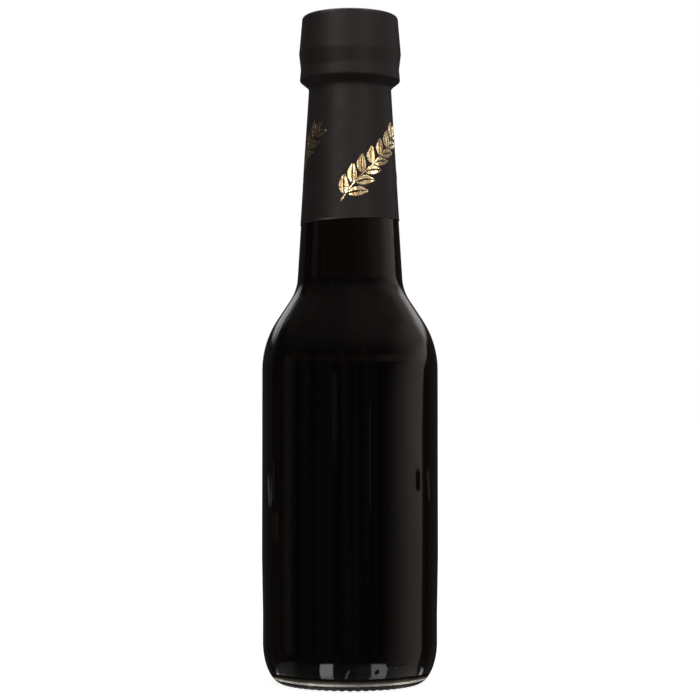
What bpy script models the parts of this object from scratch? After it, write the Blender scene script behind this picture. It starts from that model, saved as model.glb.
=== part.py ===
"""A 250 ml round glass bottle of balsamic vinegar, its screw cap covered by a shrunk-on film capsule.

The bottle stands upright on the ground plane: +Z is up, and the origin is the centre of its base.
Everything is a solid of revolution about Z, in metres. The capsule alone has an uneven lower edge.
"""

import math

import bmesh
import bpy

# Driving dimensions, in metres
SEGMENTS = 48  # flat sides round every turned piece, the same on all so that nested walls stay parallel
CHORD = 0.00005  # how far the flats of a rounded corner may lie inside its true arc
WIDEST_STEP = math.radians(20.0)  # and the most that one of them may turn
FIT_GAP = 0.0003  # between pieces that touch on the real bottle
POLE_MERGE = 0.000001  # joins the points that turning leaves on the axis
FILL_VOLUME = 250e-6  # vinegar, in cubic metres

# Glass, outside
BEARING_INNER = 0.0193  # flat ring that the bottle stands on
BEARING_OUTER = 0.0214
PUSH_UP = 0.0030  # height of the dome under the base
HEEL_HEIGHT = 0.0130  # the heel is a quarter of an ellipse
HEEL_RADIUS = 0.0278
LOWER_WALL_TOP = 0.0220  # the wall widens a little from here to the body's full radius
BODY_START = 0.0400
BODY_RADIUS = 0.02815
SHOULDER_CORNER = 0.1083  # height where the wall's line would meet the shoulder's slope
SHOULDER_FILLET = 0.0293
NECK_FOOT_RADIUS = 0.01707  # where the slope's line would meet the neck's
NECK_FOOT = 0.1251
NECK_FILLET = 0.0145
NECK_TOP_RADIUS = 0.0131
NECK_TOP = 0.1900
FINISH_RADIUS = 0.0136  # the glass ring that the cap goes on
FINISH_START = 0.1912
MOUTH_TOP = 0.2106
MOUTH_FILLET = 0.0010

# Glass, inside
FLOOR_CENTRE = 0.0062
FLOOR_EDGE = 0.0031
FLOOR_FILLET = 0.0065
BODY_BORE = 0.02565
SHOULDER_BORE_CORNER = 0.1075
SHOULDER_BORE_FILLET = 0.0269
NECK_FOOT_BORE = 0.0139
NECK_BORE_FILLET = 0.0174
MOUTH_BORE = 0.0098

# Capsule: the film's outer surface over the cap, and down the neck
FILM = 0.00025
CLOSURE_TOP = 0.2137
CROWN_RADIUS = 0.01540
CROWN_FILLET = 0.00125
RIDGE_RADIUS = 0.01645
RIDGE_HEIGHT = 0.2014
RIDGE_FILLET = 0.0030
WAIST_RADIUS = 0.01585
WAIST_HEIGHT = 0.1965
WAIST_FILLET = 0.0060
LIP_RADIUS = 0.0162
LIP_HEIGHT = 0.1927
LIP_FILLET = 0.0009
THROAT_HEIGHT = 0.1904  # where the film, drawn in under the lip, reaches the neck
THROAT_FILLET = 0.0016
SKIRT_HEIGHT = 0.1469  # mean height of the film's lower edge
SKIRT_TILT = 0.0008  # the cut runs downhill towards -X by this much each way

# Screw cap, under the film
CAP_FOOT = 0.1938
CAP_BORE = FINISH_RADIUS + FIT_GAP
CAP_CROWN_UNDERSIDE = MOUTH_TOP + FIT_GAP

# Finishes: base colour, roughness, metallic, transmission
GLASS_LOOK = ((0.86, 0.90, 0.84), 0.03, 0.0, 1.0)
VINEGAR_LOOK = ((0.012, 0.005, 0.003), 0.05, 0.0, 0.0)
CAP_LOOK = ((0.03, 0.03, 0.03), 0.45, 0.0, 0.0)
FILM_LOOK = ((0.030, 0.027, 0.027), 0.50, 0.0, 0.0)


def clear_scene():
    for obj in list(bpy.data.objects):
        bpy.data.objects.remove(obj)


def finish(name, look):
    """A Principled material of that colour, roughness, metallic and transmission."""
    colour, roughness, metallic, transmission = look
    material = bpy.data.materials.new(name)
    material.use_nodes = True
    shader = material.node_tree.nodes["Principled BSDF"]
    shader.inputs["Base Color"].default_value = (*colour, 1.0)
    shader.inputs["Roughness"].default_value = roughness
    shader.inputs["Metallic"].default_value = metallic
    shader.inputs["Transmission Weight"].default_value = transmission
    return material


def rounded(corners):
    """The outline through (radius, height, fillet) corners, with an arc at each corner that has a fillet."""
    points = []
    for i, (r, z, fillet) in enumerate(corners):
        if fillet == 0.0:
            points.append((r, z))
            continue
        back = unit(corners[i - 1][0] - r, corners[i - 1][1] - z)
        on = unit(corners[i + 1][0] - r, corners[i + 1][1] - z)
        opening = math.acos(back[0] * on[0] + back[1] * on[1])
        middle = unit(back[0] + on[0], back[1] + on[1])
        reach = fillet / math.sin(opening / 2)
        centre = (r + middle[0] * reach, z + middle[1] * reach)
        tangent = fillet / math.tan(opening / 2)
        first = math.atan2(z + back[1] * tangent - centre[1], r + back[0] * tangent - centre[0])
        last = math.atan2(z + on[1] * tangent - centre[1], r + on[0] * tangent - centre[0])
        turn = math.remainder(last - first, math.tau)
        step = min(WIDEST_STEP, 2 * math.acos(1 - CHORD / fillet))
        steps = max(2, round(abs(turn) / step))
        for k in range(steps + 1):
            angle = first + turn * k / steps
            points.append((centre[0] + fillet * math.cos(angle), centre[1] + fillet * math.sin(angle)))
    return points


def unit(x, y):
    length = math.hypot(x, y)
    return x / length, y / length


def moved_in(outline, distance):
    """The outline moved to its left by distance, which is inwards on one that runs up an outer wall."""
    moved = []
    for i, (r, z) in enumerate(outline):
        before = outline[max(i - 1, 0)]
        after = outline[min(i + 1, len(outline) - 1)]
        across = [unit(b[0] - a[0], b[1] - a[1]) for a, b in ((before, (r, z)), ((r, z), after)) if a != b]
        along = unit(sum(a[0] for a in across), sum(a[1] for a in across))
        mitre = distance / (along[0] * across[0][0] + along[1] * across[0][1])
        moved.append((r - along[1] * mitre, z + along[0] * mitre))
    return moved


def volume_of_slice(low, high):
    """Volume under the straight wall from one (radius, height) point to the next one up."""
    (r1, z1), (r2, z2) = low, high
    return math.pi * (r1 * r1 + r1 * r2 + r2 * r2) * (z2 - z1) / 3


def filled_to(wall, volume):
    """The inner wall's points up to the level that holds this volume, with the level's own point last."""
    held = 0.0
    for i in range(len(wall) - 1):
        low, high = wall[i], wall[i + 1]
        whole = volume_of_slice(low, high)
        if held + whole < volume:
            held += whole
            continue
        share = (volume - held) / whole
        level = tuple(a + (b - a) * share for a, b in zip(low, high))
        return wall[: i + 1] + [level]
    raise ValueError("the bottle is too small for its vinegar")


def neck_radius(height):
    """Radius of the neck's tapering outer wall."""
    share = (height - NECK_FOOT) / (NECK_TOP - NECK_FOOT)
    return NECK_FOOT_RADIUS + (NECK_TOP_RADIUS - NECK_FOOT_RADIUS) * share


def glass_underside():
    """From the middle of the push-up out to the ring that the bottle stands on."""
    steps = 6
    dome = [(BEARING_INNER * k / steps, PUSH_UP * (1 - (k / steps) ** 2)) for k in range(steps + 1)]
    return dome + [(BEARING_OUTER, 0.0)]


def glass_heel():
    """The quarter ellipse from the standing ring up into the wall."""
    steps = 8
    angles = [math.pi / 2 * k / steps for k in range(1, steps + 1)]
    width = HEEL_RADIUS - BEARING_OUTER
    return [(BEARING_OUTER + width * math.sin(a), HEEL_HEIGHT * (1 - math.cos(a))) for a in angles]


def glass_outside():
    """From the heel up over the shoulder and the neck to the mouth."""
    return rounded(
        [
            (HEEL_RADIUS, LOWER_WALL_TOP, 0.0),
            (BODY_RADIUS, BODY_START, 0.0),
            (BODY_RADIUS, SHOULDER_CORNER, SHOULDER_FILLET),
            (NECK_FOOT_RADIUS, NECK_FOOT, NECK_FILLET),
            (NECK_TOP_RADIUS, NECK_TOP, 0.0),
            (FINISH_RADIUS, FINISH_START, 0.0),
            (FINISH_RADIUS, MOUTH_TOP, MOUTH_FILLET),
            (MOUTH_BORE, MOUTH_TOP, MOUTH_FILLET),
            (MOUTH_BORE, NECK_TOP, 0.0),
        ]
    )


def glass_inside():
    """The inner wall, from the middle of the floor up to the top of the neck."""
    return rounded(
        [
            (0.0, FLOOR_CENTRE, 0.0),
            (BODY_BORE, FLOOR_EDGE, FLOOR_FILLET),
            (BODY_BORE, SHOULDER_BORE_CORNER, SHOULDER_BORE_FILLET),
            (NECK_FOOT_BORE, NECK_FOOT, NECK_BORE_FILLET),
            (MOUTH_BORE, NECK_TOP, 0.0),
        ]
    )


def closure_side(inset):
    """Corners of the closure from the middle of its top down to its lip, moved in by inset."""
    return [
        (0.0, CLOSURE_TOP - inset, 0.0),
        (CROWN_RADIUS - inset, CLOSURE_TOP - inset, CROWN_FILLET - inset),
        (RIDGE_RADIUS - inset, RIDGE_HEIGHT, RIDGE_FILLET - inset),
        (WAIST_RADIUS - inset, WAIST_HEIGHT, WAIST_FILLET + inset),
    ]


def film_surface(inset):
    """One face of the film, from the middle of its top down to its lower edge."""
    on_neck = FIT_GAP + FILM - inset
    return rounded(
        [
            *closure_side(inset),
            (LIP_RADIUS - inset, LIP_HEIGHT, LIP_FILLET - inset),
            (neck_radius(THROAT_HEIGHT) + on_neck, THROAT_HEIGHT, THROAT_FILLET + inset),
            (neck_radius(SKIRT_HEIGHT) + on_neck, SKIRT_HEIGHT, 0.0),
        ]
    )


def film_outline():
    """The capsule's closed section, with its lower edge cut level at its mean height."""
    return film_surface(0.0) + film_surface(FILM)[::-1]


def cap_outline():
    """The cap's closed section: down its outer side, across its foot and up its bore."""
    inset = FILM + FIT_GAP
    return rounded(
        [
            *closure_side(inset),
            (LIP_RADIUS - inset, CAP_FOOT, 0.0),
            (CAP_BORE, CAP_FOOT, 0.0),
            (CAP_BORE, CAP_CROWN_UNDERSIDE, 0.0),
            (0.0, CAP_CROWN_UNDERSIDE, 0.0),
        ]
    )


def vinegar_outline():
    """The liquid's closed section, a fit gap inside the glass, up to the level that holds its volume."""
    wall = moved_in(filled_to(glass_inside(), FILL_VOLUME), FIT_GAP)
    return [(0.0, wall[0][1]), *wall[1:], (0.0, wall[-1][1])]


def turned(name, outline, look):
    """A solid of revolution from a closed section that starts and ends on the axis."""
    mesh = bmesh.new()
    points = [mesh.verts.new((r, 0.0, z)) for r, z in outline]
    edges = [mesh.edges.new(pair) for pair in zip(points, points[1:])]
    bmesh.ops.spin(mesh, geom=points + edges, axis=(0, 0, 1), angle=math.tau, steps=SEGMENTS, use_merge=True)
    bmesh.ops.remove_doubles(mesh, verts=mesh.verts, dist=POLE_MERGE)
    bmesh.ops.recalc_face_normals(mesh, faces=mesh.faces)
    data = bpy.data.meshes.new(name)
    mesh.to_mesh(data)
    mesh.free()
    data.shade_smooth()
    data.set_sharp_from_angle(angle=math.radians(40.0))
    data.materials.append(finish(name, look))
    obj = bpy.data.objects.new(name, data)
    bpy.context.collection.objects.link(obj)
    return obj


def cut_at_a_slant(capsule):
    """Tilt the capsule's lower edge, sliding it along the neck's taper."""
    flare = (neck_radius(0.0) - neck_radius(NECK_TOP)) / NECK_TOP
    for vertex in capsule.data.vertices:
        x, y, z = vertex.co
        if z > SKIRT_HEIGHT + SKIRT_TILT:
            continue
        radius = math.hypot(x, y)
        rise = SKIRT_TILT * x / radius
        grown = 1 - flare * rise / radius
        vertex.co = (x * grown, y * grown, z + rise)


def build():
    clear_scene()
    glass = glass_underside() + glass_heel() + glass_outside() + glass_inside()[-2::-1]
    turned("glass_bottle", glass, GLASS_LOOK)
    turned("vinegar", vinegar_outline(), VINEGAR_LOOK)
    turned("screw_cap", cap_outline(), CAP_LOOK)
    capsule = turned("film_capsule", film_outline(), FILM_LOOK)
    cut_at_a_slant(capsule)


build()
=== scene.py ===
"""The looks of a 250 ml bottle of balsamic vinegar: clear glass, near-black liquid, and a matt black
shrink capsule with a gold foil sprig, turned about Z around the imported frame. Lengths are in metres.

Angles round the bottle are measured from the side that faces the camera, and grow towards +X.
"""

import math
from collections import namedtuple

import bmesh
import bpy
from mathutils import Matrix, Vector, noise


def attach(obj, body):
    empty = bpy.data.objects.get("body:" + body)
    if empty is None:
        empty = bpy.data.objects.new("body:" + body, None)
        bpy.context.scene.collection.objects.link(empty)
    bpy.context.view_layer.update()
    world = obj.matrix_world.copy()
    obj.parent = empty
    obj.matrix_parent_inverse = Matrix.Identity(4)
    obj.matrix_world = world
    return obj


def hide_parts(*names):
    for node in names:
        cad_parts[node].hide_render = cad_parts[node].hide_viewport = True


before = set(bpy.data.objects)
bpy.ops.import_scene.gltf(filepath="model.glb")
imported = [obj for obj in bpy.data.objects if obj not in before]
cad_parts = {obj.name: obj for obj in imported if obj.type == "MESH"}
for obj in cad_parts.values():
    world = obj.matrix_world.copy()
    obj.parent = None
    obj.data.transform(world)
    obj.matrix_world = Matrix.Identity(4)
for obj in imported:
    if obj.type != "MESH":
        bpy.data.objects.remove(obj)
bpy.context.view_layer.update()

MM = 0.001

# Smooth noise on a cylinder: its size, where it is sampled, and how busy it is around and per metre up
Wave = namedtuple("Wave", "size seed around upwards")

# Glass, outside: the same driving dimensions as the solid's
BEARING_INNER = 19.3 * MM
BEARING_OUTER = 21.4 * MM
PUSH_UP = 3.0 * MM
HEEL_HEIGHT = 13.0 * MM
HEEL_RADIUS = 27.8 * MM
LOWER_WALL_TOP = 22.0 * MM
BODY_START = 40.0 * MM
BODY_RADIUS = 28.15 * MM
SHOULDER_CORNER = 108.3 * MM
SHOULDER_FILLET = 29.3 * MM
NECK_FOOT_RADIUS = 17.07 * MM
NECK_FOOT = 125.1 * MM
NECK_FILLET = 14.5 * MM
NECK_TOP_RADIUS = 13.1 * MM
NECK_TOP = 190.0 * MM
FINISH_RADIUS = 13.6 * MM
FINISH_START = 191.2 * MM
MOUTH_TOP = 210.6 * MM
MOUTH_FILLET = 1.0 * MM

# Glass, inside
FLOOR_CENTRE = 6.2 * MM
FLOOR_EDGE = 3.1 * MM
FLOOR_FILLET = 6.5 * MM
BODY_BORE = 25.65 * MM
SHOULDER_BORE_CORNER = 107.5 * MM
SHOULDER_BORE_FILLET = 26.9 * MM
NECK_FOOT_BORE = 13.9 * MM
NECK_BORE_FILLET = 17.4 * MM
MOUTH_BORE = 9.8 * MM

# Marks of the glass mould
KNURLS = 56  # short ribs round the ring that the bottle stands on
KNURL_DEPTH = 0.45 * MM
KNURL_REACH = 2.2 * MM  # how far up and out from the ring they fade
KNURL_WEAR = Wave(0.35, 3.1, 6.0, 0.0)  # as a share of their depth
PARTING_ANGLE = math.radians(-60.0)  # one of two parting lines, opposite each other
PARTING_HEIGHT = 0.05 * MM
PARTING_WIDTH = 0.45 * MM
MOULD_DOTS = [  # angle, height, size and relief of each
    (math.radians(25.8), 7.8 * MM, 0.50 * MM, 0.40 * MM),
    (math.radians(31.6), 7.8 * MM, 0.45 * MM, 0.34 * MM),
    (math.radians(34.4), 8.0 * MM, 0.45 * MM, 0.34 * MM),
    (math.radians(36.8), 7.8 * MM, 0.60 * MM, 0.50 * MM),
    (math.radians(39.2), 7.9 * MM, 0.45 * MM, 0.34 * MM),
    (math.radians(17.6), 6.5 * MM, 0.85 * MM, -0.42 * MM),
]
# Lines and dots start at this height and lie on the outer wall only, which is every point further out
# than these: this far off the body's bore, and this far inside the line of the neck
MARKS_START = HEEL_HEIGHT * 0.1
OFF_BODY_BORE = 0.6 * MM
OFF_NECK_LINE = 1.5 * MM

# Vinegar
INTO_WALL = 0.1 * MM  # how far the liquid's mesh reaches into the glass, so that no air shows between
FILL_LEVEL = 162.1 * MM
MENISCUS = 1.2 * MM

# Capsule: the film's outer surface
FILM = 0.12 * MM
CLOSURE_TOP = 213.7 * MM
CROWN_RADIUS = 15.40 * MM
CROWN_FILLET = 1.25 * MM
RIDGE_RADIUS = 16.45 * MM
RIDGE_HEIGHT = 201.4 * MM
RIDGE_FILLET = 3.0 * MM
WAIST_RADIUS = 15.85 * MM
WAIST_HEIGHT = 196.5 * MM
WAIST_FILLET = 6.0 * MM
LIP_RADIUS = 16.2 * MM
LIP_HEIGHT = 192.7 * MM
LIP_FILLET = 0.9 * MM
THROAT_HEIGHT = 190.4 * MM
THROAT_FILLET = 1.6 * MM
SLEEVE_CLEARANCE = 0.02 * MM
HUG = SLEEVE_CLEARANCE + FILM  # from the neck to the outer face of a film without slack

# The film's cut edge
SKIRT_HEIGHT = 146.9 * MM
SKIRT_TILT = 0.8 * MM
CUT_WANDER = Wave(0.10 * MM, 8.0, 2.5, 0.0)
NICKS = [  # angle, depth and half width of each
    (math.radians(-40.0), 0.35 * MM, math.radians(1.2)),
    (math.radians(-35.5), 0.25 * MM, math.radians(0.8)),
    (math.radians(118.0), 0.30 * MM, math.radians(1.0)),
    (math.radians(201.0), 0.40 * MM, math.radians(1.5)),
]
CURL = 0.16 * MM  # how far the edge curls out, and over how much height
CURL_HEIGHT = 0.6 * MM
CURL_ANGLE = math.radians(-27.0)  # where it curls most, how far round that reaches, and its share elsewhere
CURL_SPREAD = math.radians(34.0)
CURL_LEAST = 0.35
CURL_WANDER = Wave(0.3, 2.2, 3.0, 0.0)

# The film's overlap and slack
LAP_ANGLE = math.radians(68.0)  # where the sleeve's free edge lies, and how wide it laps over
LAP_WIDTH = math.radians(17.0)
LAP_STEP = 0.12 * MM
LAP_RISE = (-0.012, 0.004)  # the step's start and end, in radians from the free edge
LAP_FLAT = 0.6  # share of the width that lies at full height
CROWN_LAP = 0.8  # share of the step that is left on the crown's side
SLACK = 0.06 * MM
SOFT_FOLDS = Wave(0.05 * MM, 1.7, 1.6, 60.0)
PLEATS = Wave(0.05 * MM, 5.3, 9.0, 90.0)
PLEATS_REACH = 7.0 * MM  # how far from the throat they fade
PINCH = 0.16 * MM  # one raised crease, and its place and half size
PINCH_ANGLE = 1.45
PINCH_SPREAD = 0.16
PINCH_HEIGHT = 162.0 * MM
PINCH_REACH = 2.2 * MM
CROWN_WAVES = Wave(0.05 * MM, 2.9, 2.2, 70.0)

# The crown's face, pressed down inside a folded rim
FACE_DEPTH = 0.4 * MM  # points within this of the top, and inside this radius, belong to the face
FACE_RADIUS = CROWN_RADIUS - CROWN_FILLET * 0.3
FOLD_RADIUS = 11.6 * MM
FOLD_WANDER = Wave(0.5 * MM, 6.6, 5.0, 0.0)
FOLD_STEP = 0.16 * MM
FOLD_SLOPE = (-0.15 * MM, 0.10 * MM)  # the step's start and end, from the fold
FACE_SAG = 0.10 * MM
PUCKER = Wave(0.06 * MM, 4.4, 12.0, 180.0)
PUCKER_RADIUS = 13.4 * MM
PUCKER_REACH = 2.2 * MM

# Gold foil sprig, printed three times round the sleeve
SPRIGS = 3
SPRIG_FOOT = (math.radians(-12.0), 151.9 * MM)
SPRIG_TIP = (math.radians(68.0), 175.5 * MM)
GAUGE_ANGLE = 0.2  # radians: where the sleeve's radius is taken to lay the sprig out flat
FOIL_LIFT = 0.02 * MM
FOIL_THICKNESS = 0.02 * MM
STEM_BEND = 0.9 * MM
STEM_BEND_TURNS = 0.9
STEM_HALF_WIDTHS = (0.28 * MM, 0.12 * MM)  # at its foot and at its tip
LEAF_PAIRS = 7
LEAF_SPAN = (0.08, 0.92)  # shares of the stem where the first and the last pair stand
LEAF_LENGTH = 6.8 * MM
LEAF_WIDTH = 3.5 * MM
LEAF_TAPER = 0.2  # how much smaller a leaf at the stem's end is
LEAF_LEANS = (math.radians(42.0), math.radians(34.0))  # from the stem, at its foot and at its tip
LEAF_STAGGER = 0.9 * MM  # how much further up the stem the leaves on its right stand
LEAF_STALK = 0.35 * MM
LEAF_BELLY = 0.8  # below 1, a leaf is widest nearer its root
LEAF_FULLNESS = 0.85
LEAF_BOW = 0.05  # share of its length that a leaf bows sideways
HALF_VEIN = 0.09 * MM
VEIN_SHARE = 0.8  # the most of a blade's width that the vein may take
LEAST_BLADE = HALF_VEIN * 1.2
TIP_LEAF_SHARE = 0.97
TIP_LEAF_LENGTH = 5.0 * MM
TIP_LEAF_WIDTH = 2.2 * MM

# How finely the meshes are cut: segments round the axis, steps of a part, arc steps, longest stretches
GLASS_SEGMENTS = 672  # twelve to each knurl
VINEGAR_SEGMENTS = 192
FILM_SEGMENTS = 480
GLOW_SEGMENTS = 96
DOME_STEPS = 14
RING_STEPS = 3
HEEL_STEPS = 64
MENISCUS_STEPS = 6
CUT_STEPS = 8
STEM_STEPS = 40
LEAF_STEPS = 12
STRIP_STEPS = 4
FEWEST_ARC_STEPS = 3
GLASS_ARC = math.radians(2.0)
BORE_ARC = math.radians(3.0)
FILM_ARC = math.radians(6.0)
GLASS_STRETCH = 6.0 * MM
BORE_STRETCH = 8.0 * MM
FILM_STRETCH = 0.9 * MM
SHARP_ANGLE = math.radians(40.0)  # edges sharper than this stay sharp
FILM_SHARP_ANGLE = math.radians(55.0)

# Colours of the surfaces: a pair is the two ends of an uneven tint
GLASS_TINT = (0.93, 0.95, 0.90)
VINEGAR_BROWNS = ((0.0035, 0.0018, 0.0010), (0.0060, 0.0026, 0.0014))
FILM_BLACKS = ((0.0270, 0.0208, 0.0206), (0.0330, 0.0254, 0.0250))
FILM_SHEEN = (1.0, 0.87, 0.86)
FOIL_GOLDS = ((0.62, 0.40, 0.18), (1.0, 0.82, 0.50))
LACQUER_BLACK = (0.02, 0.02, 0.02)
NOISE_RANGE = (0.3, 0.7)  # where nearly all of a noise texture's values lie

# Colours of light
WHITE = (1.0, 1.0, 1.0)
NEUTRAL = (1.0, 0.98, 0.97)
WARM = (1.0, 0.88, 0.82)
COOL = (0.95, 0.97, 1.0)
BROWN = (1.0, 0.40, 0.36)
OLIVE = (1.0, 0.80, 0.52)

# What the glass mirrors. Each range is start, full from, full to, end, in degrees: azimuth from the
# camera's direction towards +X, and elevation. lean is how far a panel slants to the right as it
# rises from lean_from. A negative strength is something dark in front of a brighter panel.
Panel = namedtuple("Panel", "azimuth elevation strength colour lean lean_from", defaults=(0.0, 0.0))
PANELS = [
    Panel((38, 98, 106, 110), (-62, -48, 14, 20), 0.36, WARM, 1.6),
    Panel((50, 98, 106, 110), (-5, 0, 14, 20), 0.14, WARM, 1.6),
    Panel((50, 84, 106, 110), (3, 12, 16, 22), 0.12, WARM, 1.6),
    Panel((48, 110, 146, 168), (14, 20, 26, 50), 0.36, WARM),
    Panel((124, 140, 156, 168), (13, 20, 24, 32), 0.75, NEUTRAL),
    Panel((-170, -158, -144, -128), (12, 18, 25, 34), 1.10, NEUTRAL),
    Panel((-181, -180, 180, 181), (14, 50, 90, 91), 0.055, WARM),
    Panel((-40, 40, 150, 180), (14, 50, 90, 91), 0.06, WARM),
    Panel((-138, -134, -128, -123), (-44, -37, -25, -21), 1.40, NEUTRAL),
    Panel((-136, -130, -112, -106), (-46, -42, -32, -28), 0.40, NEUTRAL),
    Panel((-126, -118, -92, -74), (-42, -38, -22, -18), 0.13, NEUTRAL),
    Panel((116, 121, 127, 131), (-44, -37, -25, -21), 1.40, NEUTRAL),
    Panel((106, 113, 120, 126), (-45, -41, -34, -30), 0.80, NEUTRAL),
    Panel((-41, -39, -24, -22), (-60, -40, -26, -23), 2.70, COOL),
    Panel((-41, -39, -24, -22), (-70, -60, -55, -45), 0.60, COOL),
    Panel((27, 30, 49, 51), (-60, -40, -26, -23), 1.70, COOL),
    Panel((26, 29, 48, 50), (-70, -60, -55, -45), 0.80, COOL),
    Panel((-9.5, -8, -6, -4.5), (-56, -52, -38, -34), 0.85, COOL, 0.30, -54.0),
    Panel((-181, -180, 180, 181), (-61, -55, -34, -20), 0.05, NEUTRAL),
    Panel((0, 20, 70, 130), (-61, -55, -34, -20), 0.08, NEUTRAL),
    Panel((-96, -91, -84, -79), (-15, -10, 10, 14), 0.05, NEUTRAL),
    Panel((24.5, 25.5, 26.5, 27.5), (-3.0, -2.4, 0.4, 1.0), 0.12, WARM),
    Panel((-100, -70, 50, 90), (8.0, 11.0, 14.5, 19.0), 0.045, BROWN),
    Panel((24, 56, 80, 104), (8.0, 10.5, 14.5, 19.0), 0.11, WARM),
    Panel((-24, -22, -18, -15), (-2.0, 0.0, 1.5, 3.0), 0.06, NEUTRAL),
    Panel((94, 95.5, 103, 104.5), (-2.05, -1.9, -1.45, -1.2), -0.46, WARM),
    Panel((121, 123.5, 128.5, 131), (-2.35, -2.15, -1.5, -1.25), 0.11, OLIVE, -5.5, -2.2),
    Panel((-134, -132, -127, -125), (-2.55, -2.3, -1.8, -1.45), 0.19, NEUTRAL, -5.5, -2.42),
    Panel((-120.4, -119.4, -118, -117), (-2.4, -2.2, -1.2, -1.0), 0.07, NEUTRAL),
    Panel((-118, -115, -108, -105), (-3.6, -3.3, -2.8, -2.5), 0.05, OLIVE),
]
# The dim soft light that falls on what is matt
SOFT_PANELS = [
    Panel((-140, -135, -60, -50), (-20, -10, 30, 40), 0.04, NEUTRAL),
    Panel((50, 60, 135, 140), (-20, -10, 30, 40), 0.25, NEUTRAL),
    Panel((-60, -50, 50, 60), (-20, -10, 30, 40), 0.15, NEUTRAL),
    Panel((130, 140, 220, 230), (-20, -10, 30, 40), 0.06, NEUTRAL),
    Panel((-181, -180, 180, 181), (-91, -90, -35, -15), 0.09, NEUTRAL),
]
SPLAY = 0.01  # how much further out a low panel reaches, for each degree that it goes below SPLAY_START
SPLAY_START = 22.0
WHITE_TABLE = (0.45, 0.42, 0.37)  # what shows through the clear base, where no vinegar stands behind it

# The dim room behind the panels
DIM = 0.012  # its own light, and how much its dark clutter varies it
CLUTTER = 0.045
ROOM_STRETCH = (6.0, 6.0, 1.6)  # makes its pattern upright
ROOM_TINT_SCALE = 0.6
ROOM_TINTS = ((0.9, 1.0, 0.95), (1.0, 0.70, 0.62))

# The lit table close round the foot, which only the heel mirrors: the radii, in mm, where each band
# starts, is full, stops being full and ends, then its strength and colour.
TABLE_BANDS = [
    ((20.0, 21.0, 23.6, 24.8), 0.15, (1.0, 0.90, 0.80)),
    ((24.5, 24.95, 25.35, 26.3), 3.6, (1.0, 0.95, 0.86)),
    ((25.3, 25.9, 26.4, 28.2), 0.5, (1.0, 0.80, 0.60)),
]
TABLE_EDGE = 29.0 * MM
TABLE_BRIGHT = [(-40, -30, -12, -4), (34, 40, 47, 54)]  # the stretches of it, in degrees, that are brightest
TABLE_BRIGHTER = 0.8
TABLE_SIDES = 0.05  # its share out to the sides, and how fast it gains towards the front and back
TABLE_GAIN = 1.2
TABLE_UNEVEN = (0.75, 1.25)

# The capsule's square lamps: size in metres
Lamp = namedtuple("Lamp", "name azimuth elevation size energy")
LAMPS = [
    Lamp("edge", -42.0, 20.0, 0.20, 0.16),
    Lamp("key", -27.0, 20.0, 0.25, 0.30),
    Lamp("front", -12.0, 20.0, 0.30, 0.20),
    Lamp("fill", 5.0, 20.0, 0.35, 0.18),
    Lamp("side", 33.0, 20.0, 0.45, 0.28),
    Lamp("top_left", -60.0, 50.0, 0.50, 2.1),
    Lamp("top_right", 60.0, 50.0, 0.50, 1.7),
    Lamp("top_back", 180.0, 60.0, 0.60, 3.7),
    Lamp("low_left", -30.0, -12.0, 0.25, 0.30),
    Lamp("low_right", 30.0, -5.0, 0.35, 0.25),
]
FILM_LAMPS = ("edge", "top_left", "top_back", "low_left")  # those that leave the foil dark
GLEAMS = [  # those that only the foil mirrors
    Lamp("gleam_front", 0.0, 15.0, 0.25, 1.2),
    Lamp("gleam_side", 62.0, 12.0, 0.30, 1.0),
    Lamp("gleam_back", 145.0, 15.0, 0.35, 0.7),
]
LAMP_DISTANCE = 1.0
LAMP_AIM = Vector((0.0, 0.0, 170.0 * MM))

# The floor, far wider than the view, and the light on it
FLOOR_REACH = 60.0
FLOOR_GLOW = 0.92
CEILING_STRENGTH = 0.6
CEILING_SPREAD = math.radians(60.0)

# Camera: distance from the axis, eye level, lens in pixels of the picture, and upward tilt
CAMERA_DISTANCE = 610.3 * MM
EYE_LEVEL = 82.5 * MM
PICTURE_WIDTH_PX = 700
FOCAL_PX = 1901.3
TILT = math.radians(2.209)
SENSOR_WIDTH_MM = 36.0


# Outlines and meshes


def unit(x, y):
    length = math.hypot(x, y)
    return x / length, y / length


def blend(one, other, share):
    return one + (other - one) * share


def shares(steps, first=0):
    """Equally spaced shares up to 1, from 0 or from a later step on."""
    return [k / steps for k in range(first, steps + 1)]


def apart(angle, other):
    """How far an angle lies past another, from minus half a turn to half a turn."""
    return math.remainder(angle - other, math.tau)


def rounded(corners, step):
    """The outline through (radius, height, fillet) corners, with an arc at each corner that has a fillet."""
    points = []
    for i, (r, z, fillet) in enumerate(corners):
        if fillet == 0.0:
            points.append((r, z))
            continue
        back = unit(corners[i - 1][0] - r, corners[i - 1][1] - z)
        on = unit(corners[i + 1][0] - r, corners[i + 1][1] - z)
        opening = math.acos(back[0] * on[0] + back[1] * on[1])
        middle = unit(back[0] + on[0], back[1] + on[1])
        reach = fillet / math.sin(opening / 2)
        centre = (r + middle[0] * reach, z + middle[1] * reach)
        tangent = fillet / math.tan(opening / 2)
        first = math.atan2(z + back[1] * tangent - centre[1], r + back[0] * tangent - centre[0])
        last = math.atan2(z + on[1] * tangent - centre[1], r + on[0] * tangent - centre[0])
        turn = apart(last, first)
        for share in shares(max(FEWEST_ARC_STEPS, round(abs(turn) / step))):
            angle = first + turn * share
            points.append((centre[0] + fillet * math.cos(angle), centre[1] + fillet * math.sin(angle)))
    return points


def subdivided(outline, longest):
    """The outline with extra points, so that no stretch is longer than that."""
    points = [outline[0]]
    for (r1, z1), (r2, z2) in zip(outline, outline[1:]):
        pieces = max(1, math.ceil(math.hypot(r2 - r1, z2 - z1) / longest))
        points += [(blend(r1, r2, share), blend(z1, z2, share)) for share in shares(pieces, 1)]
    return points


def smoothstep(low, high, value):
    share = min(max((value - low) / (high - low), 0.0), 1.0)
    return share * share * (3 - 2 * share)


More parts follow.
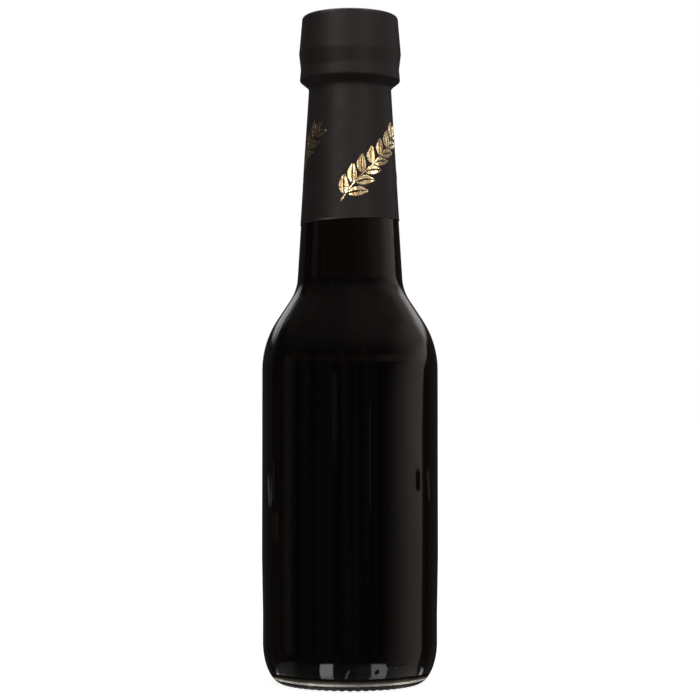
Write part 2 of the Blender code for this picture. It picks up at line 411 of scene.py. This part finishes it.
def bump(distance, width):
    """A smooth hill, 1 at distance 0 and 0 from width on."""
    return 1.0 - smoothstep(0.0, width, abs(distance))


def wave(pattern, angle, height=0.0):
    """Smooth noise between minus and plus its size, which closes on itself round the axis."""
    x, y = math.cos(angle) * pattern.around, math.sin(angle) * pattern.around
    return pattern.size * noise.noise(Vector((x, y, height * pattern.upwards + pattern.seed)))


def place(angle, radius, height):
    """The point at that angle from the camera's side."""
    return (radius * math.sin(angle), -radius * math.cos(angle), height)


def neck_radius(height):
    """Outer radius of the glass, anywhere on the neck's straight line."""
    share = (height - NECK_FOOT) / (NECK_TOP - NECK_FOOT)
    return blend(NECK_FOOT_RADIUS, NECK_TOP_RADIUS, share)


def unmoved(angle, r, z):
    return r, z


def turned(name, segments, outline, material, shape=unmoved, sharp=SHARP_ANGLE):
    """A turned mesh whose outline starts and ends on the axis. shape(angle, r, z) gives a point's r and z."""
    mesh = bmesh.new()
    hubs = [shape(0.0, 0.0, outline[i][1])[1] for i in (0, -1)]
    top, end = (mesh.verts.new((0.0, 0.0, z)) for z in hubs)
    columns = []
    for k in range(segments):
        angle = math.tau * k / segments
        wall = [mesh.verts.new(place(angle, *shape(angle, r, z))) for r, z in outline[1:-1]]
        columns.append([top] + wall + [end])
    for k in range(segments):
        here, beyond = columns[k], columns[(k + 1) % segments]
        for i in range(len(here) - 1):
            mesh.faces.new(list(dict.fromkeys([here[i], here[i + 1], beyond[i + 1], beyond[i]])))
    bmesh.ops.recalc_face_normals(mesh, faces=mesh.faces)
    return finished(name, mesh, material, sharp)


def finished(name, mesh, material, sharp=SHARP_ANGLE):
    """Turns a bmesh into a smooth-shaded object of that name."""
    data = bpy.data.meshes.new(name)
    mesh.to_mesh(data)
    mesh.free()
    data.shade_smooth()
    data.set_sharp_from_angle(angle=sharp)
    data.materials.append(material)
    obj = bpy.data.objects.new(name, data)
    bpy.context.collection.objects.link(obj)
    return obj


# Shader nodes


def feed(tree, value, socket):
    """Links a socket's value to another socket, or sets a plain value on it."""
    if isinstance(value, bpy.types.NodeSocket):
        tree.links.new(value, socket)
    else:
        socket.default_value = value


def maths(tree, operation, *values):
    """A Math node on sockets or numbers, and its result."""
    node = tree.nodes.new("ShaderNodeMath")
    node.operation = operation
    for socket, value in zip(node.inputs, values):
        feed(tree, value, socket)
    return node.outputs[0]


def ramp(tree, value, low, high):
    """0 below low and 1 above high, with a smooth step between."""
    node = tree.nodes.new("ShaderNodeMapRange")
    node.interpolation_type = "SMOOTHSTEP"
    node.inputs["From Min"].default_value = low
    node.inputs["From Max"].default_value = high
    tree.links.new(value, node.inputs["Value"])
    return node.outputs["Result"]


def between(tree, value, limits):
    """0 outside the limits and 1 inside, with a smooth step at both ends."""
    start, full, last, end = limits
    rise = ramp(tree, value, start, full)
    fall = maths(tree, "SUBTRACT", 1.0, ramp(tree, value, last, end))
    return maths(tree, "MULTIPLY", rise, fall)


def vector_maths(tree, operation, one, other):
    """A Vector Math node on two vectors, sockets or plain, and its result."""
    node = tree.nodes.new("ShaderNodeVectorMath")
    node.operation = operation
    feed(tree, one, node.inputs[0])
    feed(tree, other, node.inputs[1])
    return node.outputs["Vector"]


def scaled_vector(tree, vector, scale):
    node = tree.nodes.new("ShaderNodeVectorMath")
    node.operation = "SCALE"
    feed(tree, vector, node.inputs[0])
    tree.links.new(scale, node.inputs["Scale"])
    return node.outputs["Vector"]


def split(tree, vector):
    """The three parts of a vector."""
    node = tree.nodes.new("ShaderNodeSeparateXYZ")
    tree.links.new(vector, node.inputs["Vector"])
    return node.outputs


def azimuth_of(tree, x, y):
    """The angle round the bottle of a flat direction, in degrees."""
    return maths(tree, "DEGREES", maths(tree, "ARCTAN2", x, maths(tree, "MULTIPLY", y, -1.0)))


def object_coordinates(tree):
    return tree.nodes.new("ShaderNodeTexCoord").outputs["Object"]


def noise_texture(tree, vector, scale, detail=2.0):
    texture = tree.nodes.new("ShaderNodeTexNoise")
    texture.inputs["Scale"].default_value = scale
    texture.inputs["Detail"].default_value = detail
    tree.links.new(vector, texture.inputs["Vector"])
    return texture.outputs["Fac"]


def noise_of(tree, scale, detail=2.0, upright=1.0):
    """A noise texture in object space. Its pattern is drawn out along the axis where upright is below 1."""
    mapping = tree.nodes.new("ShaderNodeMapping")
    mapping.inputs["Scale"].default_value = (1.0, 1.0, upright)
    tree.links.new(object_coordinates(tree), mapping.inputs["Vector"])
    return noise_texture(tree, mapping.outputs["Vector"], scale, detail)


def mapped(tree, value, low, high):
    """A noise texture's value spread over that range."""
    node = tree.nodes.new("ShaderNodeMapRange")
    node.inputs["From Min"].default_value = NOISE_RANGE[0]
    node.inputs["From Max"].default_value = NOISE_RANGE[1]
    node.inputs["To Min"].default_value = low
    node.inputs["To Max"].default_value = high
    tree.links.new(value, node.inputs["Value"])
    return node.outputs["Result"]


def mixed_colour(tree, pattern, colours):
    """The colour between two that a noise texture's value picks."""
    factor = mapped(tree, pattern, 0.0, 1.0)
    node = tree.nodes.new("ShaderNodeMix")
    node.data_type = "RGBA"
    node.inputs["A"].default_value = (*colours[0], 1.0)
    node.inputs["B"].default_value = (*colours[1], 1.0)
    tree.links.new(factor, node.inputs["Factor"])
    return node.outputs["Result"]


def bumped(tree, height, distance, strength=1.0, before=None):
    """A bump's normal, on top of another bump's if there is one before it."""
    node = tree.nodes.new("ShaderNodeBump")
    node.inputs["Distance"].default_value = distance
    node.inputs["Strength"].default_value = strength
    tree.links.new(height, node.inputs["Height"])
    if before is not None:
        tree.links.new(before, node.inputs["Normal"])
    return node.outputs["Normal"]


# Materials


def new_material(name):
    material = bpy.data.materials.new(name)
    material.use_nodes = True
    return material, material.node_tree, material.node_tree.nodes["Principled BSDF"]


def glass_material():
    """Clear container glass with a slight olive tint and the faint ripple of a blown wall."""
    material, tree, shader = new_material("clear_glass")
    shader.inputs["Base Color"].default_value = (*GLASS_TINT, 1.0)
    shader.inputs["Roughness"].default_value = 0.0
    shader.inputs["IOR"].default_value = 1.52
    shader.inputs["Transmission Weight"].default_value = 1.0
    ripple = bumped(tree, noise_of(tree, 60.0, detail=1.0, upright=0.35), 0.10 * MM)
    tree.links.new(ripple, shader.inputs["Normal"])
    return material


def vinegar_material():
    """Reduced must: so dark a brown that it reads as black, with almost no shine of its own against glass."""
    material, tree, shader = new_material("dark_vinegar")
    cloud = noise_of(tree, 25.0)
    tree.links.new(mixed_colour(tree, cloud, VINEGAR_BROWNS), shader.inputs["Base Color"])
    shader.inputs["Roughness"].default_value = 0.35
    shader.inputs["Specular IOR Level"].default_value = 0.02
    return material


def film_material():
    """Matt black shrink film: a fine grain, a soft waviness, and a little unevenness in its sheen."""
    material, tree, shader = new_material("matt_black_film")
    patches = noise_of(tree, 90.0, detail=3.0, upright=0.5)
    tree.links.new(mixed_colour(tree, patches, FILM_BLACKS), shader.inputs["Base Color"])
    rubbed = noise_of(tree, 160.0, detail=3.0)
    tree.links.new(mapped(tree, rubbed, 0.35, 0.45), shader.inputs["Roughness"])
    shader.inputs["Specular Tint"].default_value = (*FILM_SHEEN, 1.0)
    grain = bumped(tree, noise_of(tree, 3200.0, detail=3.0), 0.012 * MM, 0.5)
    slack = bumped(tree, noise_of(tree, 140.0, upright=0.45), 0.12 * MM, 0.6, grain)
    tree.links.new(slack, shader.inputs["Normal"])
    return material


def foil_material():
    """Hot-stamped gold: bright, slightly crinkled, with worn browner patches."""
    material, tree, shader = new_material("gold_foil")
    shader.inputs["Metallic"].default_value = 1.0
    worn = noise_of(tree, 420.0, detail=3.0)
    tree.links.new(mixed_colour(tree, worn, FOIL_GOLDS), shader.inputs["Base Color"])
    tree.links.new(mapped(tree, noise_of(tree, 700.0), 0.14, 0.30), shader.inputs["Roughness"])
    tree.links.new(bumped(tree, noise_of(tree, 520.0), 0.30 * MM), shader.inputs["Normal"])
    return material


def cap_material():
    """Satin black lacquer on the cap that the film covers."""
    material, tree, shader = new_material("black_lacquer")
    shader.inputs["Base Color"].default_value = (*LACQUER_BLACK, 1.0)
    tree.links.new(mapped(tree, noise_of(tree, 500.0), 0.38, 0.5), shader.inputs["Roughness"])
    return material


# Glass


def glass_outline():
    """The glass from the middle of its underside, up the outside, and down the inside to its floor."""
    dome = [(BEARING_INNER * share, PUSH_UP * (1 - share ** 2)) for share in shares(DOME_STEPS)]
    ring = [(blend(BEARING_INNER, BEARING_OUTER, share), 0.0) for share in shares(RING_STEPS, 1)]
    width = HEEL_RADIUS - BEARING_OUTER
    turn = [math.pi / 2 * share for share in shares(HEEL_STEPS, 1)]
    heel = [(BEARING_OUTER + width * math.sin(a), HEEL_HEIGHT * (1 - math.cos(a))) for a in turn]
    corners = [
        (HEEL_RADIUS, LOWER_WALL_TOP, 0.0),
        (BODY_RADIUS, BODY_START, 0.0),
        (BODY_RADIUS, SHOULDER_CORNER, SHOULDER_FILLET),
        (NECK_FOOT_RADIUS, NECK_FOOT, NECK_FILLET),
        (NECK_TOP_RADIUS, NECK_TOP, 0.0),
        (FINISH_RADIUS, FINISH_START, 0.0),
        (FINISH_RADIUS, MOUTH_TOP, MOUTH_FILLET),
        (MOUTH_BORE, MOUTH_TOP, MOUTH_FILLET),
        (MOUTH_BORE, NECK_TOP, 0.0),
    ]
    wall = subdivided([heel[-1]] + rounded(corners, GLASS_ARC), GLASS_STRETCH)[1:]
    return dome + ring + heel + wall + bore_outline()[-2::-1]


def bore_outline():
    """The inner wall, from the middle of the floor up to the top of the neck."""
    corners = [
        (0.0, FLOOR_CENTRE, 0.0),
        (BODY_BORE, FLOOR_EDGE, FLOOR_FILLET),
        (BODY_BORE, SHOULDER_BORE_CORNER, SHOULDER_BORE_FILLET),
        (NECK_FOOT_BORE, NECK_FOOT, NECK_BORE_FILLET),
        (MOUTH_BORE, NECK_TOP, 0.0),
    ]
    return subdivided(rounded(corners, BORE_ARC), BORE_STRETCH)


def knurl_rise(angle, r, z):
    """How far the knurls lift a point of the ring that the bottle stands on, or near it."""
    off_ring = max(BEARING_INNER - r, r - BEARING_OUTER, 0.0)
    if z >= KNURL_REACH or off_ring >= KNURL_REACH:
        return 0.0
    fade = (1 - off_ring / KNURL_REACH) * (1 - z / KNURL_REACH)
    groove = 0.5 - 0.5 * math.cos(KNURLS * angle)
    return KNURL_DEPTH * fade * groove * groove * (1.0 + wave(KNURL_WEAR, angle))


def glass_shape(angle, r, z):
    """Adds the mould's marks: knurls under the foot, two parting lines, and dots and a pit on the heel."""
    z += knurl_rise(angle, r, z)
    on_neck = z > SHOULDER_BORE_CORNER and r > neck_radius(z) - OFF_NECK_LINE
    if MARKS_START < z < NECK_TOP and (r > BODY_BORE + OFF_BODY_BORE or on_neck):
        for line in (PARTING_ANGLE, PARTING_ANGLE + math.pi):
            r += PARTING_HEIGHT * bump(apart(angle, line) * r, PARTING_WIDTH)
        for dot_angle, height, size, relief in MOULD_DOTS:
            r += relief * bump(math.hypot(apart(angle, dot_angle) * r, z - height), size)
    return r, z


def make_glass():
    glass = turned("clear_glass_bottle", GLASS_SEGMENTS, glass_outline(), glass_material(), glass_shape)
    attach(glass, "root")
    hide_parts("glass_bottle")


def make_vinegar():
    """The liquid reaches a little into the wall, and climbs it in a meniscus at the level."""
    wall = [(r, z) for r, z in bore_outline() if z < FILL_LEVEL]
    pushed = [(0.0, wall[0][1] - INTO_WALL)]
    for before, here, after in zip(wall, wall[1:], wall[2:]):
        along = unit(after[0] - before[0], after[1] - before[1])
        pushed.append((here[0] + along[1] * INTO_WALL, here[1] - along[0] * INTO_WALL))
    rim = pushed[-1][0]
    surface = [
        (rim - MENISCUS * share, FILL_LEVEL + MENISCUS * (1 - share) ** 2) for share in shares(MENISCUS_STEPS)
    ]
    outline = pushed + surface + [(0.0, FILL_LEVEL)]
    vinegar = turned("balsamic_vinegar", VINEGAR_SEGMENTS, outline, vinegar_material())
    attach(vinegar, "root")
    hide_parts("vinegar")


# Capsule


def skirt_height(angle):
    """Height of the film's cut edge: a slant, a slight wander and a few nicks."""
    height = SKIRT_HEIGHT + SKIRT_TILT * math.sin(angle) + wave(CUT_WANDER, angle)
    for nick, depth, width in NICKS:
        height += depth * bump(apart(angle, nick), width)
    return height


def cut_curl(angle, height):
    """How far the film curls out close to its cut edge."""
    near = 1 - smoothstep(0.0, CURL_HEIGHT, height - skirt_height(angle))
    most = bump(apart(angle, CURL_ANGLE), CURL_SPREAD)
    return CURL * near * (blend(CURL_LEAST, 1.0, most) + wave(CURL_WANDER, angle))


def lap(angle):
    """How far the sleeve's free edge lifts the film at this angle: it laps over the edge beneath it."""
    beyond = apart(angle, LAP_ANGLE)
    fade = 1 - smoothstep(LAP_WIDTH * LAP_FLAT, LAP_WIDTH, beyond)
    return LAP_STEP * smoothstep(*LAP_RISE, beyond) * fade


def sleeve_slack(angle, height):
    """The film's own unevenness on the neck: soft folds, pleats where it is drawn in, and a crease."""
    pleats = wave(PLEATS, angle, height) * bump(height - THROAT_HEIGHT, PLEATS_REACH)
    pinch = PINCH * bump(height - PINCH_HEIGHT, PINCH_REACH) * bump(apart(angle, PINCH_ANGLE), PINCH_SPREAD)
    return SLACK + wave(SOFT_FOLDS, angle, height) + pleats + pinch


def sleeve_radius(angle, height):
    """Outer radius of the film where it lies on the neck."""
    return neck_radius(height) + HUG + sleeve_slack(angle, height) + lap(angle)


def crown_sink(angle, r):
    """How far the crown's face lies below its top: the step at the fold, a sag, and puckers in the rim."""
    fold = FOLD_RADIUS + wave(FOLD_WANDER, angle)
    inside = 1 - smoothstep(fold + FOLD_SLOPE[0], fold + FOLD_SLOPE[1], r)
    pucker = wave(PUCKER, angle, r) * bump(r - PUCKER_RADIUS, PUCKER_REACH)
    return FOLD_STEP * inside + FACE_SAG * (1 - (r / CROWN_RADIUS) ** 2) - min(pucker, 0.0)


def film_side():
    """The film's outer face from the middle of its top down to its mean lower edge."""
    edge_top = SKIRT_HEIGHT + 2 * CURL_HEIGHT
    corners = [
        (0.0, CLOSURE_TOP, 0.0),
        (CROWN_RADIUS, CLOSURE_TOP, CROWN_FILLET),
        (RIDGE_RADIUS, RIDGE_HEIGHT, RIDGE_FILLET),
        (WAIST_RADIUS, WAIST_HEIGHT, WAIST_FILLET),
        (LIP_RADIUS, LIP_HEIGHT, LIP_FILLET),
        (neck_radius(THROAT_HEIGHT) + HUG, THROAT_HEIGHT, THROAT_FILLET),
        (neck_radius(edge_top) + HUG, edge_top, 0.0),
    ]
    heights = [blend(edge_top, SKIRT_HEIGHT, share) for share in shares(CUT_STEPS, 1)]
    edge = [(neck_radius(height) + HUG, height) for height in heights]
    return subdivided(rounded(corners, FILM_ARC), FILM_STRETCH) + edge


def drawn_in(outline, distance):
    """The outline moved to its right by distance, towards the bottle on one that runs down the outside."""
    moved = []
    for i, (r, z) in enumerate(outline):
        before = outline[max(i - 1, 0)]
        after = outline[min(i + 1, len(outline) - 1)]
        along = unit(after[0] - before[0], after[1] - before[1])
        moved.append((max(r + along[1] * distance, 0.0), z - along[0] * distance))
    return moved


def film_shape(angle, r, z):
    """Slants and curls the cut, adds the lap and slack, and presses the crown down inside its rim."""
    if z < THROAT_HEIGHT:
        share = (THROAT_HEIGHT - z) / (THROAT_HEIGHT - SKIRT_HEIGHT)
        level = blend(THROAT_HEIGHT, skirt_height(angle), share)
        r += neck_radius(level) - neck_radius(z)
        z = level
    if z < LIP_HEIGHT:
        drawn = 1 - smoothstep(THROAT_HEIGHT, LIP_HEIGHT, z)
        r += (sleeve_slack(angle, z) + lap(angle)) * drawn + cut_curl(angle, z)
    elif z < CLOSURE_TOP - CROWN_FILLET:
        r += lap(angle) * CROWN_LAP + wave(CROWN_WAVES, angle, z)
    if z > CLOSURE_TOP - FACE_DEPTH and r < FACE_RADIUS:
        z -= crown_sink(angle, r)
    return r, z


def make_capsule():
    outer = film_side()
    inner = drawn_in(outer, FILM)
    inner[0] = (0.0, outer[0][1] - FILM)
    outline = outer + inner[::-1]
    capsule = turned(
        "shrink_capsule", FILM_SEGMENTS, outline, film_material(), film_shape, FILM_SHARP_ANGLE
    )
    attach(capsule, "root")
    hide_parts("film_capsule")
    return capsule


# Gold foil sprig, laid out flat as (arc along the sleeve, height) and wrapped round at one radius


def gauge_radius():
    """The sleeve's radius at the sprig's middle height."""
    return sleeve_radius(GAUGE_ANGLE, (SPRIG_FOOT[1] + SPRIG_TIP[1]) / 2)


def on_sleeve(angle, height):
    """A point of the print, just proud of the film."""
    return Vector(place(angle, sleeve_radius(angle, height) + FOIL_LIFT, height))


def left_of(direction):
    return Vector((-direction.y, direction.x))


def swung(direction, angle):
    """A flat direction turned to its left by an angle."""
    return direction * math.cos(angle) + left_of(direction) * math.sin(angle)


def stem_point(share, radius):
    """A flat point of the sprig's stem, which has a slight S bend, and the stem's direction."""
    foot = Vector((SPRIG_FOOT[0] * radius, SPRIG_FOOT[1]))
    tip = Vector((SPRIG_TIP[0] * radius, SPRIG_TIP[1]))
    along = (tip - foot).normalized()
    bend = STEM_BEND * math.sin(math.tau * share * STEM_BEND_TURNS)
    return foot.lerp(tip, share) + left_of(along) * bend, along


def add_patch(mesh, outline_pairs, radius, turn):
    """A strip of foil between pairs of flat points, laid on the sleeve."""
    rows = []
    for left, right in outline_pairs:
        flat = [left.lerp(right, share) for share in shares(STRIP_STEPS)]
        rows.append([mesh.verts.new(on_sleeve(point.x / radius + turn, point.y)) for point in flat])
    for lower, upper in zip(rows, rows[1:]):
        for k in range(STRIP_STEPS):
            mesh.faces.new([lower[k], lower[k + 1], upper[k + 1], upper[k]])


def add_leaf(mesh, root, direction, length, width, radius, turn):
    """A pointed leaf of two half blades, with the film showing along its vein."""
    side = left_of(direction)
    for hand in (1, -1):
        pairs = []
        for share in shares(LEAF_STEPS):
            half = width / 2 * math.sin(math.pi * share ** LEAF_BELLY) ** LEAF_FULLNESS
            bow = LEAF_BOW * length * math.sin(math.pi * share)
            middle = root + direction * (length * share) + side * bow
            inner = middle + side * hand * min(HALF_VEIN, half * VEIN_SHARE)
            outer = middle + side * hand * max(half, LEAST_BLADE)
            pairs.append((inner, outer) if hand > 0 else (outer, inner))
        add_patch(mesh, pairs, radius, turn)


def add_stem(mesh, radius, turn):
    pairs = []
    for share in shares(STEM_STEPS):
        middle, along = stem_point(share, radius)
        side = left_of(along) * blend(*STEM_HALF_WIDTHS, share)
        pairs.append((middle + side, middle - side))
    add_patch(mesh, pairs, radius, turn)


def add_sprig(mesh, radius, turn):
    """A laurel sprig: broad leaves in pairs along a stem, and one at the tip."""
    add_stem(mesh, radius, turn)
    for pair in shares(LEAF_PAIRS - 1):
        share = blend(*LEAF_SPAN, pair)
        root, along = stem_point(share, radius)
        size = 1.0 - LEAF_TAPER * share
        for hand in (1, -1):
            direction = swung(along, blend(*LEAF_LEANS, share) * hand)
            stagger = LEAF_STAGGER if hand < 0 else 0.0
            start = root + along * stagger + direction * LEAF_STALK
            add_leaf(mesh, start, direction, LEAF_LENGTH * size, LEAF_WIDTH * size, radius, turn)
    tip, along = stem_point(TIP_LEAF_SHARE, radius)
    add_leaf(mesh, tip, along, TIP_LEAF_LENGTH, TIP_LEAF_WIDTH, radius, turn)


def make_foil():
    mesh = bmesh.new()
    radius = gauge_radius()
    for k in range(SPRIGS):
        add_sprig(mesh, radius, math.tau * k / SPRIGS)
    bmesh.ops.recalc_face_normals(mesh, faces=mesh.faces)
    foil = finished("foil_sprigs", mesh, foil_material())
    solid = foil.modifiers.new("foil_thickness", "SOLIDIFY")
    solid.thickness = FOIL_THICKNESS
    solid.offset = 1.0
    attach(foil, "root")
    return foil


# Light


def background(tree, colour):
    node = tree.nodes.new("ShaderNodeBackground")
    feed(tree, colour, node.inputs["Color"])
    return node


def mixed_shaders(tree, factor, one, other):
    node = tree.nodes.new("ShaderNodeMixShader")
    tree.links.new(factor, node.inputs["Fac"])
    tree.links.new(one.outputs[0], node.inputs[1])
    tree.links.new(other.outputs[0], node.inputs[2])
    return node


def room(tree, direction):
    """The dim room behind the panels: upright streaks, some warmer and some cooler."""
    stretched = vector_maths(tree, "MULTIPLY", direction, ROOM_STRETCH)
    streaks = mapped(tree, noise_texture(tree, stretched, 1.0), 0.0, 1.0)
    colour = mixed_colour(tree, noise_texture(tree, stretched, ROOM_TINT_SCALE), ROOM_TINTS)
    return scaled_vector(tree, colour, maths(tree, "MULTIPLY_ADD", streaks, CLUTTER, DIM))


def panels(tree, listed, azimuth, elevation):
    """The light of the listed panels together."""
    total = None
    for panel in listed:
        middle = (panel.azimuth[0] + panel.azimuth[3]) / 2
        slanted = azimuth
        if panel.lean:
            risen = maths(tree, "MAXIMUM", maths(tree, "SUBTRACT", elevation, panel.lean_from), 0.0)
            slanted = maths(tree, "SUBTRACT", azimuth, maths(tree, "MULTIPLY", risen, panel.lean))
        away = maths(tree, "WRAP", maths(tree, "SUBTRACT", slanted, middle), 180.0, -180.0)
        across = between(tree, away, [a - middle for a in panel.azimuth])
        mask = maths(tree, "MULTIPLY", across, between(tree, elevation, panel.elevation))
        glow = scaled_vector(tree, panel.colour, maths(tree, "MULTIPLY", mask, panel.strength))
        total = glow if total is None else vector_maths(tree, "ADD", total, glow)
    return total


def make_world():
    """A dim room with soft panels round the bottle, which the camera itself sees as plain white."""
    world = bpy.data.worlds.new("studio")
    bpy.context.scene.world = world
    world.use_nodes = True
    tree = world.node_tree
    tree.nodes.clear()
    direction = tree.nodes.new("ShaderNodeTexCoord").outputs["Generated"]
    x, y, z = split(tree, direction)
    azimuth = azimuth_of(tree, x, y)
    elevation = maths(tree, "DEGREES", maths(tree, "ARCSINE", z))
    below = maths(tree, "MAXIMUM", maths(tree, "SUBTRACT", -SPLAY_START, elevation), 0.0)
    splayed = maths(tree, "DIVIDE", azimuth, maths(tree, "MULTIPLY_ADD", below, SPLAY, 1.0))
    total = vector_maths(tree, "ADD", room(tree, direction), panels(tree, PANELS, splayed, elevation))
    mirrored = background(tree, total)
    soft = background(tree, panels(tree, SOFT_PANELS, azimuth, elevation))
    seen = background(tree, (*WHITE, 1.0))
    through = background(tree, (*WHITE_TABLE, 1.0))
    path = tree.nodes.new("ShaderNodeLightPath")
    glass = mixed_shaders(tree, path.outputs["Is Transmission Ray"], mirrored, through)
    matt_or_glass = mixed_shaders(tree, path.outputs["Is Singular Ray"], soft, glass)
    whole = mixed_shaders(tree, path.outputs["Is Camera Ray"], matt_or_glass, seen)
    output = tree.nodes.new("ShaderNodeOutputWorld")
    tree.links.new(whole.outputs[0], output.inputs["Surface"])


def floor_material():
    """Plain white, lit mostly by its own glow."""
    material, _, shader = new_material("white_floor")
    shader.inputs["Base Color"].default_value = (0.9, 0.9, 0.9, 1.0)
    shader.inputs["Roughness"].default_value = 1.0
    shader.inputs["Specular IOR Level"].default_value = 0.0
    shader.inputs["Emission Color"].default_value = (*WHITE, 1.0)
    shader.inputs["Emission Strength"].default_value = FLOOR_GLOW
    return material


def make_floor():
    """A wide floor that shows almost no shadow, and that the glass doesn't mirror."""
    mesh = bmesh.new()
    bmesh.ops.create_grid(mesh, x_segments=1, y_segments=1, size=FLOOR_REACH)
    floor = finished("floor", mesh, floor_material())
    floor.visible_diffuse = False
    floor.visible_glossy = False
    floor.visible_transmission = False
    floor.visible_shadow = False
    return floor


def table_glow_material():
    """Light in rings: bright where the table starts beside the foot, browner and fainter further out."""
    material, tree, shader = new_material("table_glow")
    tree.nodes.remove(shader)
    x, y, _ = split(tree, object_coordinates(tree))
    squares = maths(tree, "ADD", maths(tree, "MULTIPLY", x, x), maths(tree, "MULTIPLY", y, y))
    radius = maths(tree, "DIVIDE", maths(tree, "SQRT", squares), MM)
    azimuth = azimuth_of(tree, x, y)
    lit = mapped(tree, noise_of(tree, 260.0), *TABLE_UNEVEN)
    for stretch in TABLE_BRIGHT:
        lit = maths(tree, "MULTIPLY_ADD", between(tree, azimuth, stretch), TABLE_BRIGHTER, lit)
    facing = maths(tree, "DIVIDE", maths(tree, "ABSOLUTE", y), maths(tree, "MULTIPLY", radius, MM))
    share = maths(tree, "MINIMUM", maths(tree, "MULTIPLY_ADD", facing, TABLE_GAIN, TABLE_SIDES), 1.0)
    lit = maths(tree, "MULTIPLY", lit, share)
    total = None
    for limits, strength, colour in TABLE_BANDS:
        band = maths(tree, "MULTIPLY", between(tree, radius, limits), lit)
        glow = scaled_vector(tree, colour, maths(tree, "MULTIPLY", band, strength))
        total = glow if total is None else vector_maths(tree, "ADD", total, glow)
    emission = tree.nodes.new("ShaderNodeEmission")
    tree.links.new(total, emission.inputs["Color"])
    tree.links.new(emission.outputs[0], tree.nodes["Material Output"].inputs["Surface"])
    return material


def make_table_glow():
    """The table's surface under the heel: a flat ring that only the glass mirrors."""
    mesh = bmesh.new()
    angles = [math.tau * k / GLOW_SEGMENTS for k in range(GLOW_SEGMENTS)]
    inner = [mesh.verts.new(place(angle, BEARING_OUTER, 0.0)) for angle in angles]
    outer = [mesh.verts.new(place(angle, TABLE_EDGE, 0.0)) for angle in angles]
    for k in range(GLOW_SEGMENTS):
        beyond = (k + 1) % GLOW_SEGMENTS
        mesh.faces.new([inner[k], outer[k], outer[beyond], inner[beyond]])
    glow = finished("table_glow", mesh, table_glow_material())
    glow.visible_camera = False
    glow.visible_diffuse = False
    glow.visible_transmission = False
    glow.visible_shadow = False


def lit_group(name, *objects):
    """A collection of the objects that a lamp lights."""
    group = bpy.data.collections.new(name)
    for obj in objects:
        group.objects.link(obj)
    return group


def make_lamp(lamp, receivers):
    """A soft square lamp aimed at the capsule, which only lights the receivers."""
    data = bpy.data.lights.new(lamp.name, "AREA")
    data.shape = "SQUARE"
    data.size = lamp.size
    data.energy = lamp.energy
    light = bpy.data.objects.new(lamp.name, data)
    bpy.context.collection.objects.link(light)
    elevation = math.radians(lamp.elevation)
    away = Vector(place(math.radians(lamp.azimuth), math.cos(elevation), math.sin(elevation)))
    light.location = LAMP_AIM + away * LAMP_DISTANCE
    light.rotation_euler = away.to_track_quat("Z", "Y").to_euler()
    light.light_linking.receiver_collection = receivers
    light.visible_camera = False


def make_ceiling(receivers):
    """A wide soft light from above, which only lights the receivers."""
    data = bpy.data.lights.new("floor_light", "SUN")
    data.energy = CEILING_STRENGTH
    data.angle = CEILING_SPREAD
    light = bpy.data.objects.new("floor_light", data)
    bpy.context.collection.objects.link(light)
    light.light_linking.receiver_collection = receivers


def make_lights(capsule, foil, floor):
    """Lights for what is matt: the glass has its own panels in the world."""
    both = lit_group("lit_capsule", capsule, foil)
    film_only = lit_group("lit_film", capsule)
    foil_only = lit_group("lit_foil", foil)
    for lamp in LAMPS:
        make_lamp(lamp, film_only if lamp.name in FILM_LAMPS else both)
    for lamp in GLEAMS:
        make_lamp(lamp, foil_only)
    make_ceiling(lit_group("lit_floor", floor))


def make_camera():
    """The photograph's view: a long lens a little below the bottle's middle, tipped up to centre it."""
    data = bpy.data.cameras.new("camera")
    data.sensor_width = SENSOR_WIDTH_MM
    data.lens = SENSOR_WIDTH_MM * FOCAL_PX / PICTURE_WIDTH_PX
    data.clip_start = 0.01
    data.clip_end = 100.0
    camera = bpy.data.objects.new("camera", data)
    bpy.context.collection.objects.link(camera)
    camera.location = (0.0, -CAMERA_DISTANCE, EYE_LEVEL)
    camera.rotation_euler = (math.pi / 2 + TILT, 0.0, 0.0)
    bpy.context.scene.camera = camera


def dress():
    make_glass()
    make_vinegar()
    capsule = make_capsule()
    foil = make_foil()
    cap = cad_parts["screw_cap"]
    for slot in cap.material_slots:
        slot.material = cap_material()
    make_world()
    make_table_glow()
    make_lights(capsule, foil, make_floor())
    make_camera()
    bpy.context.scene.view_settings.view_transform = "Standard"


dress()
